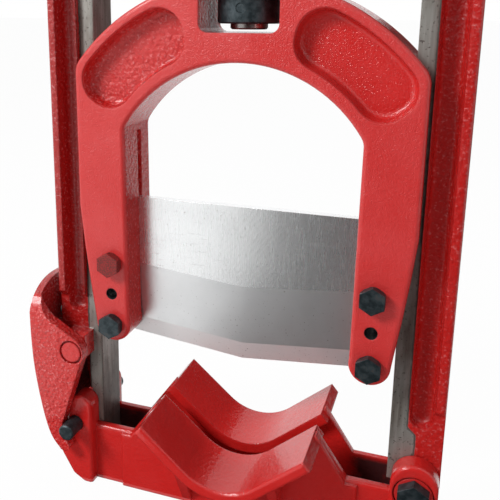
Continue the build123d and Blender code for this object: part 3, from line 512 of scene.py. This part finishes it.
# %% Blackened steel
def blackened(name, rust=0.2, painted=None):
    shader = Shader(name, edge=0.5 * MM)
    cloud = shader.noise(3.5 * MM, detail=4)
    fine = shader.noise(0.7 * MM, detail=3)
    colour = shader.mix(shader.step(cloud, 0.3, 0.75), (0.014, 0.023, 0.027), (0.052, 0.07, 0.078))
    rusty = shader.step(fine * 0.5 + cloud * 0.5, 0.62 - 0.2 * rust, 0.75 - 0.2 * rust)
    colour = shader.mix(rusty * rust, colour, (0.13, 0.06, 0.03))
    roughness = 0.34 + cloud * 0.2 + rusty * 0.2
    if painted:
        mask = painted(shader)
        coat = shader.mix(shader.step(fine, 0.4, 0.62), (0.33, 0.03, 0.03), (0.12, 0.035, 0.03))
        colour = shader.mix(mask, colour, coat)
        roughness = roughness + mask * 0.15
    return shader.finish(
        Base_Color=colour,
        Metallic=0.55,
        Roughness=roughness,
        Normal=shader.bump(fine * 0.6 + cloud * 0.5, 0.16 * MM),
    )


def top_left_bolt(shader):
    return shader.x.below(0, 1 * MM) * shader.z.above(140 * MM, 1 * MM)


black_steel = blackened("black oxide steel")
BLACK_PARTS = ["retaining_collar", "collar_pin", "hinge_bolt", "hinge_nut", "nut_lock_screw"]
BLACK_PARTS += ["bar_plunger", "handle_hub", "bar_knob_left", "bar_knob_right"]
for part in BLACK_PARTS:
    dress(part, black_steel)
dress("blade_bolts", blackened("black oxide bolts", 0.35, painted=top_left_bolt))
dress("catch_pin", blackened("black oxide pin", 0.1))
print("black parts:", len(BLACK_PARTS) + 2)

# %% [markdown]
# ## Turned and plated parts
# Turned parts are plain steel with fine rings round their axis: noise that is
# drawn out in two directions and left fine along the third. The snap ring and
# the grease nipple are plated. The nut, bush and thrust washer are bronze.

# %% Turned steel, zinc and bronze
def turned(name, colour, stretch, roughness=0.24):
    shader = Shader(name)
    rings = shader.noise(0.8 * MM, detail=3, stretch=stretch)
    cloud = shader.noise(16 * MM, detail=3)
    tinted = shader.mix(shader.step(cloud, 0.3, 0.75) * 0.5, colour, tuple(c * 0.62 for c in colour))
    return shader.finish(
        Base_Color=tinted,
        Metallic=0.95,
        Roughness=roughness + rings * 0.14,
        Normal=shader.bump(rings, 0.04 * MM),
    )


STEEL = (0.52, 0.51, 0.50)
ROUND_X = (1, 0.04, 0.04)
ROUND_Y = (0.04, 1, 0.04)
ROUND_Z = (0.04, 0.04, 1)
EVEN = (1, 1, 1)
dress("tommy_bar", turned("turned steel bar", STEEL, ROUND_X))
dress("hub_pin", turned("turned steel pin", STEEL, ROUND_Y))
screw_steel = turned("turned steel screw", (0.42, 0.41, 0.395), ROUND_Z)
tapped_steel = turned("oily tapped iron", (0.20, 0.23, 0.24), EVEN, 0.3)
dress("latch_spring", turned("spring wire", (0.28, 0.28, 0.29), EVEN, 0.3))
zinc = turned("bright zinc", (0.62, 0.62, 0.60), EVEN, 0.3)
for part in ("latch_pin_clip", "grease_nipple"):
    dress(part, zinc)
bronze = turned("turned bronze", (0.56, 0.38, 0.16), ROUND_Z, 0.28)
for part in ("feed_nut", "hinge_bush", "thrust_washer"):
    dress(part, bronze)
print("materials:", len(bpy.data.materials))

# %% [markdown]
# ## Shapes from an outline
# The next pieces are real geometry, because a thread and a hook change the
# outline that other views see. Three helpers do it: a turned shape goes round an
# axis, a prism is drawn up from an outline, and a Boolean modifier joins or
# cuts. The modifier's result is kept as a plain mesh.

# %% Turned shapes, prisms and cuts
def plain_piece(name, builder, material=None):
    """An object from a finished bmesh, with edges over 35 degrees left sharp."""
    bmesh.ops.recalc_face_normals(builder, faces=builder.faces)
    mesh = bpy.data.meshes.new(name)
    builder.to_mesh(mesh)
    builder.free()
    piece = bpy.data.objects.new(name, mesh)
    bpy.context.collection.objects.link(piece)
    soften(mesh)
    if material:
        mesh.materials.append(material)
    return piece


def soften(mesh):
    mesh.shade_smooth()
    mesh.set_sharp_from_angle(angle=math.radians(35))


def revolved(outline, sides=72):
    """A bmesh turned round Z from (radius, height) pairs that start and end on the axis."""
    builder = bmesh.new()
    rings = []
    for radius, height in outline:
        count = sides if radius else 1
        angles = [math.tau * k / count for k in range(count)]
        ring = [
            builder.verts.new((radius * math.cos(a), radius * math.sin(a), height))
            for a in angles
        ]
        rings.append(ring * (sides // count))
    for low, high in zip(rings, rings[1:]):
        for k in range(sides):
            after = (k + 1) % sides
            builder.faces.new(dict.fromkeys((low[k], low[after], high[after], high[k])))
    return builder


def prism(outline, low, high, along_x=False):
    """A block from (across, height) pairs, drawn from low to high along Y, or along X."""
    builder = bmesh.new()
    ends = [
        [builder.verts.new((place, a, b) if along_x else (a, place, b)) for a, b in outline]
        for place in (low, high)
    ]
    for end in ends:
        builder.faces.new(end)
    for k in range(len(outline)):
        builder.faces.new((ends[0][k], ends[0][k - 1], ends[1][k - 1], ends[1][k]))
    return plain_piece("tool", builder)


def carve(piece, tool, operation="DIFFERENCE"):
    """Cuts the tool away from the piece, or joins the two with UNION."""
    modifier = piece.modifiers.new("carve", "BOOLEAN")
    modifier.operation = operation
    modifier.solver = "EXACT"
    modifier.object = tool
    graph = bpy.context.evaluated_depsgraph_get()
    piece.data = bpy.data.meshes.new_from_object(piece.evaluated_get(graph))
    piece.modifiers.remove(modifier)
    bpy.data.objects.remove(tool)


# %% [markdown]
# ## Geometry that takes its sizes by name
# What repeats or winds is made by Geometry Nodes. The same class gives a tree
# named inputs and ends it with Realize Instances and Set Material. A result is
# read once as a plain mesh, because a piece that rides on a body can't keep a
# modifier.

# %% A Geometry Nodes tree with named inputs
class Tree(Nodes):
    """Geometry that is worked out from named sizes."""

    def __init__(self, name, **sizes):
        self.tree = bpy.data.node_groups.new(name, "GeometryNodeTree")
        sockets = self.tree.interface
        sockets.new_socket("Geometry", in_out="OUTPUT", socket_type="NodeSocketGeometry")
        made = {
            label: sockets.new_socket(label, in_out="INPUT", socket_type="NodeSocket" + kind)
            for label, kind in sizes.items()
        }
        self.ids = {label: socket.identifier for label, socket in made.items()}
        entry = self.tree.nodes.new("NodeGroupInput")
        self.size = {label: Value(self, entry.outputs[label]) for label in sizes}

    def output(self, geometry, material):
        """Ends the tree with Realize Instances and Set Material."""
        real = self.node("GeometryNodeRealizeInstances", inputs={"Geometry": geometry})
        done = self.node(
            "GeometryNodeSetMaterial", inputs={"Geometry": real.outputs[0], "Material": material}
        )
        self.feed(self.tree.nodes.new("NodeGroupOutput").inputs[0], done.outputs[0])

    def build(self, name, **sizes):
        """A plain mesh of the tree at these sizes."""
        holder = bpy.data.objects.new(name, bpy.data.meshes.new(name))
        bpy.context.collection.objects.link(holder)
        modifier = holder.modifiers.new(name, "NODES")
        modifier.node_group = self.tree
        for label, value in sizes.items():
            modifier[self.ids[label]] = value
        graph = bpy.context.evaluated_depsgraph_get()
        mesh = bpy.data.meshes.new_from_object(holder.evaluated_get(graph))
        bpy.data.objects.remove(holder)
        return mesh


# %% [markdown]
# ## The threads
# A thread is a small trapezium that climbs a helix. Turning a profile by hand
# would take a loop over every turn. Here a spiral is the path, a four-point
# outline is the profile, and Curve to Mesh sweeps one along the other. The same
# tree makes the feed screw's coarse thread and the fine thread inside the two
# spare holes, where the crest lies nearer the axis than the root. The ridge
# fades out at both ends, as a real tool leaves it.

# %% The thread's tree
def thread_tree():
    tree = Tree(
        "thread",
        crest_radius="Float",
        root_radius="Float",
        pitch="Float",
        length="Float",
        crest_width="Float",
        root_width="Float",
        steps="Int",
        places="Int",
        first_place="Vector",
        next_place="Vector",
        turn="Vector",
        finish="Material",
    )
    size = tree.size
    turns = size["length"] / size["pitch"]
    helix = tree.node(
        "GeometryNodeCurveSpiral",
        inputs={
            "Resolution": size["steps"],
            "Rotations": turns,
            "Start Radius": size["root_radius"],
            "End Radius": size["root_radius"],
            "Height": size["length"],
            "Reverse": True,
        },
    )
    framed = tree.node("GeometryNodeSetCurveNormal", {"mode": "Z_UP"}, {"Curve": helix.outputs[0]})
    inward = size["root_radius"] - size["crest_radius"]
    corners = (
        (0.0, size["root_width"] * -0.5),
        (inward, size["crest_width"] * -0.5),
        (inward, size["crest_width"] * 0.5),
        (0.0, size["root_width"] * 0.5),
    )
    points = {}
    for number, (depth, height) in enumerate(corners, 1):
        corner = tree.node("ShaderNodeCombineXYZ", inputs={"X": depth, "Y": height})
        points[f"Point {number}"] = corner.outputs[0]
    profile = tree.node("GeometryNodeCurvePrimitiveQuadrilateral", {"mode": "POINTS"}, points)
    along = Value(tree, tree.node("GeometryNodeSplineParameter").outputs["Factor"]) * turns
    fade = along.math("MINIMUM", turns - along).math("MINIMUM", 1.0).either(0.05)
    ridge = tree.node(
        "GeometryNodeCurveToMesh",
        inputs={
            "Curve": framed.outputs[0],
            "Profile Curve": profile.outputs[0],
            "Scale": fade,
            "Fill Caps": True,
        },
    )
    turned_ridge = tree.node(
        "GeometryNodeTransform", inputs={"Geometry": ridge.outputs[0], "Rotation": size["turn"]}
    )
    spots = tree.node(
        "GeometryNodeMeshLine",
        inputs={
            "Count": size["places"],
            "Start Location": size["first_place"],
            "Offset": size["next_place"],
        },
    )
    copies = tree.node(
        "GeometryNodeInstanceOnPoints",
        inputs={"Points": spots.outputs[0], "Instance": turned_ridge.outputs[0]},
    )
    tree.output(copies.outputs[0], size["finish"])
    return tree


thread = thread_tree()
print("thread tree:", len(thread.tree.nodes), "nodes")

# %% [markdown]
# The feed screw is a core with a plain shoulder at the bottom, a journal below
# it that turns in the yoke's head, and a plain top that sits in the hub. Its
# places all come from the pieces it touches. The ridge sinks 0.2 mm into the
# core, so the two shells meet without a slit.

# %% The feed screw
screw_low, screw_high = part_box("feed_screw")
SCREW_RADIUS = screw_high[0]
CORE_RADIUS = SCREW_RADIUS - 2.6 * MM
JOURNAL_RADIUS = 10 * MM
SCREW_PITCH = 5 * MM
SHOULDER = 5 * MM
shoulder_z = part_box("thrust_washer")[1][2]
hub_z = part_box("handle_hub")[0][2]
core_low = shoulder_z + SHOULDER
core_high = hub_z - SHOULDER

outline = [
    (0, screw_low[2]),
    (JOURNAL_RADIUS - 0.8 * MM, screw_low[2]),
    (JOURNAL_RADIUS, screw_low[2] + 0.8 * MM),
    (JOURNAL_RADIUS, shoulder_z),
    (SCREW_RADIUS - 0.6 * MM, shoulder_z),
    (SCREW_RADIUS, shoulder_z + 0.6 * MM),
    (SCREW_RADIUS, core_low),
    (CORE_RADIUS, core_low + 1.5 * MM),
    (CORE_RADIUS, core_high - 1.5 * MM),
    (SCREW_RADIUS, core_high),
    (SCREW_RADIUS, screw_high[2]),
    (0, screw_high[2]),
]
shank = revolved(outline)
shank.from_mesh(
    thread.build(
        "ridge",
        crest_radius=SCREW_RADIUS,
        root_radius=CORE_RADIUS - 0.2 * MM,
        pitch=SCREW_PITCH,
        length=core_high - core_low,
        crest_width=1.7 * MM,
        root_width=3.7 * MM,
        steps=36,
        places=1,
        first_place=(0, 0, core_low),
        next_place=(0, 0, 0),
        turn=(0, 0, 0),
    )
)
feed_screw = plain_piece("feed_screw_threaded", shank, screw_steel)
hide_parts("feed_screw")
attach(feed_screw, "screw")
print("feed screw:", len(feed_screw.data.polygons), "faces")

# %% [markdown]
# Each leg has a spare tapped hole between its two bolts. Its ridge points
# inward, and runs as far in as the light does.

# %% Threads in the spare holes
SPARE_PITCH = 1.25 * MM
spare_builder = bmesh.new()
spare_builder.from_mesh(
    thread.build(
        "tapped",
        crest_radius=spare_radius - 0.45 * MM,
        root_radius=spare_radius + 0.1 * MM,
        pitch=SPARE_PITCH,
        length=9 * MM,
        crest_width=0.2 * MM,
        root_width=1.1 * MM,
        steps=24,
        places=2,
        first_place=(spare_x, yoke_front + 9.6 * MM, spare_z),
        next_place=(-2 * spare_x, 0, 0),
        turn=(math.pi / 2, 0, 0),
    )
)
spare_threads = plain_piece("spare_hole_threads", spare_builder, tapped_steel)
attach(spare_threads, "yoke")
print("spare hole threads:", len(spare_threads.data.polygons), "faces")

# %% [markdown]
# ## The latch
# The latch is one casting: two cheeks joined by a web, whose top is the round
# tab for the thumb, and whose tips hook under the catch pin. The frame's solid
# has the cheeks, the bores and the spring's seat, so the piece starts as a copy
# of it. The copy is merged first, because the frame's meshes are loose
# triangles. Then a cutter in the tab's outline, a superellipse, rounds the top,
# a lip joins each tip, and the web is drawn on downwards. The two outlines are
# in millimetres, across and up.

# %% The latch's casting
TAB_TOP = 131 * MM
TAB_FOOT = 104 * MM
TAB_POWER = 2 / 2.3
LIP = [(-112, 29.4), (-108.6, 24.9), (-106.6, 23.9), (-104.6, 24.3), (-103.1, 25.7)]
LIP += [(-102.5, 27.6), (-102.9, 29.6), (-104.3, 30.9), (-106, 31.4), (-108.4, 33)]
WEB = [(-121.4, 58), (-120.5, 50), (-118.3, 42), (-117.5, 39.6)]
WEB += [(-114.6, 40.6), (-117.4, 51), (-118, 58)]


def merged_copy(node_name, name):
    """A copy of a node's mesh with its loose triangles joined."""
    builder = bmesh.new()
    builder.from_mesh(nodes[node_name].data)
    bmesh.ops.remove_doubles(builder, verts=builder.verts, dist=0.001 * MM)
    builder.verts.index_update()
    corners = [tuple(vertex.co) for vertex in builder.verts]
    triangles = [[vertex.index for vertex in face.verts] for face in builder.faces]
    builder.free()
    mesh = bpy.data.meshes.new(name)
    mesh.from_pydata(corners, [], triangles)
    piece = bpy.data.objects.new(name, mesh)
    bpy.context.collection.objects.link(piece)
    return piece


def tab_cutter(steps=40):
    """Everything above the thumb tab's round outline."""
    half = LATCH_FACE + 0.4 * MM
    lobe = []
    for k in range(steps + 1):
        angle = math.pi * k / steps
        across = abs(math.cos(angle)) ** TAB_POWER * math.copysign(half, math.cos(angle))
        lobe.append((across, TAB_FOOT + (TAB_TOP - TAB_FOOT) * math.sin(angle) ** TAB_POWER))
    ceiling = TAB_TOP + 20 * MM
    wall = half + 5 * MM
    corners = [(-wall, TAB_FOOT), (-wall, ceiling), (wall, ceiling), (wall, TAB_FOOT)]
    return prism(lobe + corners, -140 * MM, -112 * MM, along_x=True)


latch = merged_copy("latch", "latch_casting")
carve(latch, tab_cutter())
lip = [(x * MM, z * MM) for x, z in LIP]
for side in (-1, 1):
    faces = sorted((side * LATCH_HOLLOW, side * LATCH_FACE))
    carve(latch, prism(lip, *faces), "UNION")
web = [(x * MM, z * MM) for x, z in WEB]
sunk = LATCH_HOLLOW + 0.5 * MM
carve(latch, prism(web, -sunk, sunk), "UNION")
soften(latch.data)
latch.data.materials.clear()
latch.data.materials.append(latch_enamel)
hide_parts("latch")
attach(latch, "latch")
print("latch:", len(latch.data.polygons), "faces")

# %% [markdown]
# ## The white floor
# The photograph is a studio cut-out on white. A floor that looks white to the
# camera but still takes a soft shadow does the same: its shader adds a plain
# white glow for camera and mirror rays only, so it throws no extra light on the
# tool.

# %% Floor
def seen_ray(nodes_of):
    """1 for rays that come from the camera or from a mirror."""
    rays = nodes_of.node("ShaderNodeLightPath")
    seen = Value(nodes_of, rays.outputs["Is Camera Ray"])
    return seen.either(Value(nodes_of, rays.outputs["Is Glossy Ray"]))


def pale_floor():
    shader = Shader("pale floor")
    glow = shader.node("ShaderNodeEmission", inputs={"Color": (1, 1, 1), "Strength": 1.0})
    shader.finish(Base_Color=(0.86, 0.86, 0.86), Roughness=0.9)
    blend = shader.node("ShaderNodeMixShader")
    shader.feed(blend.inputs["Fac"], seen_ray(shader) * 0.97)
    shader.feed(blend.inputs[1], shader.bsdf.outputs[0])
    shader.feed(blend.inputs[2], glow.outputs[0])
    out = shader.tree.nodes["Material Output"]
    shader.feed(out.inputs["Surface"], blend.outputs[0])
    return shader.material


FLOOR_REACH = 40.0
floor_mesh = bpy.data.meshes.new("floor")
corners = [(x * FLOOR_REACH, y * FLOOR_REACH, 0) for x, y in ((-1, -1), (1, -1), (1, 1), (-1, 1))]
floor_mesh.from_pydata(corners, [], [(0, 1, 2, 3)])
floor = bpy.data.objects.new("floor", floor_mesh)
floor.data.materials.append(pale_floor())
bpy.context.collection.objects.link(floor)
print("floor", 2 * FLOOR_REACH, "m wide")

# %% [markdown]
# ## The white surroundings
# The world is white where it is seen or mirrored, so the enamel and the steel
# have something bright to show. As a light it is much weaker, or it would wash
# out the lamps' shadows.

# %% World
SKY_LIGHT = 0.24
SKY_SEEN = 1.0


class Sky(Nodes):
    """The world's node tree."""

    def __init__(self, world):
        world.use_nodes = True
        self.tree = world.node_tree
        background = self.tree.nodes["Background"]
        self.feed(background.inputs["Color"], (1, 1, 1))
        strength = seen_ray(self) * (SKY_SEEN - SKY_LIGHT) + SKY_LIGHT
        self.feed(background.inputs["Strength"], strength)


bpy.context.scene.world = bpy.data.worlds.new("studio")
Sky(bpy.context.scene.world)
print("sky light", SKY_LIGHT)

# %% [markdown]
# ## Lamps and black cards
# Three soft lamps stand for the studio's: a strong one high at the left, a weak
# one at the right, and a wide one overhead. Polished metal in a white room looks
# flat, so a photographer puts black cards where it mirrors them. These cards are
# seen by mirror rays only. They darken the right half of the blade, the jaw's
# front and its slopes, and cast no shadow.

# %% Lamps
def soft_lamp(name, place, aim, size, power):
    data = bpy.data.lights.new(name, "AREA")
    data.shape = "RECTANGLE"
    data.size, data.size_y = size
    data.energy = power
    lamp = bpy.data.objects.new(name, data)
    lamp.location = place
    lamp.rotation_euler = (Vector(aim) - Vector(place)).to_track_quat("-Z", "Y").to_euler()
    bpy.context.collection.objects.link(lamp)
    print(name, power, "W")


soft_lamp("key lamp", (-0.88, -0.88, 1.05), (0, 0, 0.25), (0.45, 0.45), 20)
soft_lamp("side lamp", (1.1, -1.0, 0.55), (0, 0, 0.15), (0.3, 0.7), 2.0)
soft_lamp("top lamp", (0.1, 0.3, 1.6), (0, 0, 0.2), (1.0, 0.5), 7)


# %% [markdown]
# A card that stands at the right darkens the flat of the blade. Two lie on the
# floor: the first is mirrored by the blade's bevels, and its left edge makes the
# left bevel light and the right one dark. The second lies under the jaw. The
# last stands behind for the slopes that face backwards.

# %% Black cards
def black_flag(outlines):
    """One mesh of four-cornered cards that only mirror rays see."""
    mesh = bpy.data.meshes.new("black_flag")
    corners = [corner for outline in outlines for corner in outline]
    mesh.from_pydata(corners, [], [tuple(range(k, k + 4)) for k in range(0, len(corners), 4)])
    mesh.materials.append(Shader("black flag").finish(Base_Color=(0.03, 0.03, 0.03), Roughness=1.0))
    flag = bpy.data.objects.new("black_flag", mesh)
    for ray in ("camera", "diffuse", "transmission", "volume_scatter", "shadow"):
        setattr(flag, "visible_" + ray, False)
    bpy.context.collection.objects.link(flag)


LOW = 0.002
NEAR = -0.42
MIDDLE = -0.09
RIGHT = 0.75
standing = [(-0.11, NEAR, LOW), (RIGHT, NEAR, LOW), (RIGHT, NEAR, 0.45), (-0.11, NEAR, 0.45)]
lying = [(-0.075, MIDDLE, LOW), (RIGHT, MIDDLE, LOW), (RIGHT, NEAR, LOW), (-0.11, NEAR, LOW)]
under = [(-0.16, 0.05, LOW), (RIGHT, 0.05, LOW), (RIGHT, MIDDLE, LOW), (-0.16, MIDDLE, LOW)]
behind = [(0.05, 0.5, LOW), (0.9, 0.5, LOW), (0.9, 0.5, 0.9), (0.05, 0.5, 0.9)]
black_flag([standing, lying, under, behind])
print("black cards: 4")

# %% [markdown]
# ## The camera
# Its place was solved from the photograph: straight rails, the round arch and
# the bolts' spacing leave only one place from which they line up. The camera
# stands 37 cm in front, a little to the right and looking slightly down and to
# the left. The tool isn't in the middle of the frame, which the lens shift
# gives without turning the camera.

# %% Camera
PICTURE_PX = 500
FOCAL_PX = 709.39
CENTRE_PX = (196.37, 181.46)
EYE = (0.1083, -0.3712, 0.2914)
HEADING = math.radians(-20.38)
DIP = math.radians(13.30)
ROLL = math.radians(0.23)

forward = Vector(
    (math.sin(HEADING) * math.cos(DIP), math.cos(HEADING) * math.cos(DIP), -math.sin(DIP))
)
level = Vector((math.cos(HEADING), -math.sin(HEADING), 0))
upright = level.cross(forward)
right = level * math.cos(ROLL) + upright * math.sin(ROLL)
above = upright * math.cos(ROLL) - level * math.sin(ROLL)

lens = bpy.data.cameras.new("camera")
lens.sensor_width = 36
lens.lens = 36 * FOCAL_PX / PICTURE_PX
lens.shift_x = (PICTURE_PX / 2 - CENTRE_PX[0]) / PICTURE_PX
lens.shift_y = (CENTRE_PX[1] - PICTURE_PX / 2) / PICTURE_PX
lens.clip_start = 0.01
camera = bpy.data.objects.new("camera", lens)
rows = zip(right, above, -forward, EYE)
camera.matrix_world = Matrix((*rows, (0, 0, 0, 1)))
bpy.context.collection.objects.link(camera)
bpy.context.scene.camera = camera
bpy.context.scene.view_settings.view_transform = "Standard"
print("lens", round(lens.lens, 1), "mm")
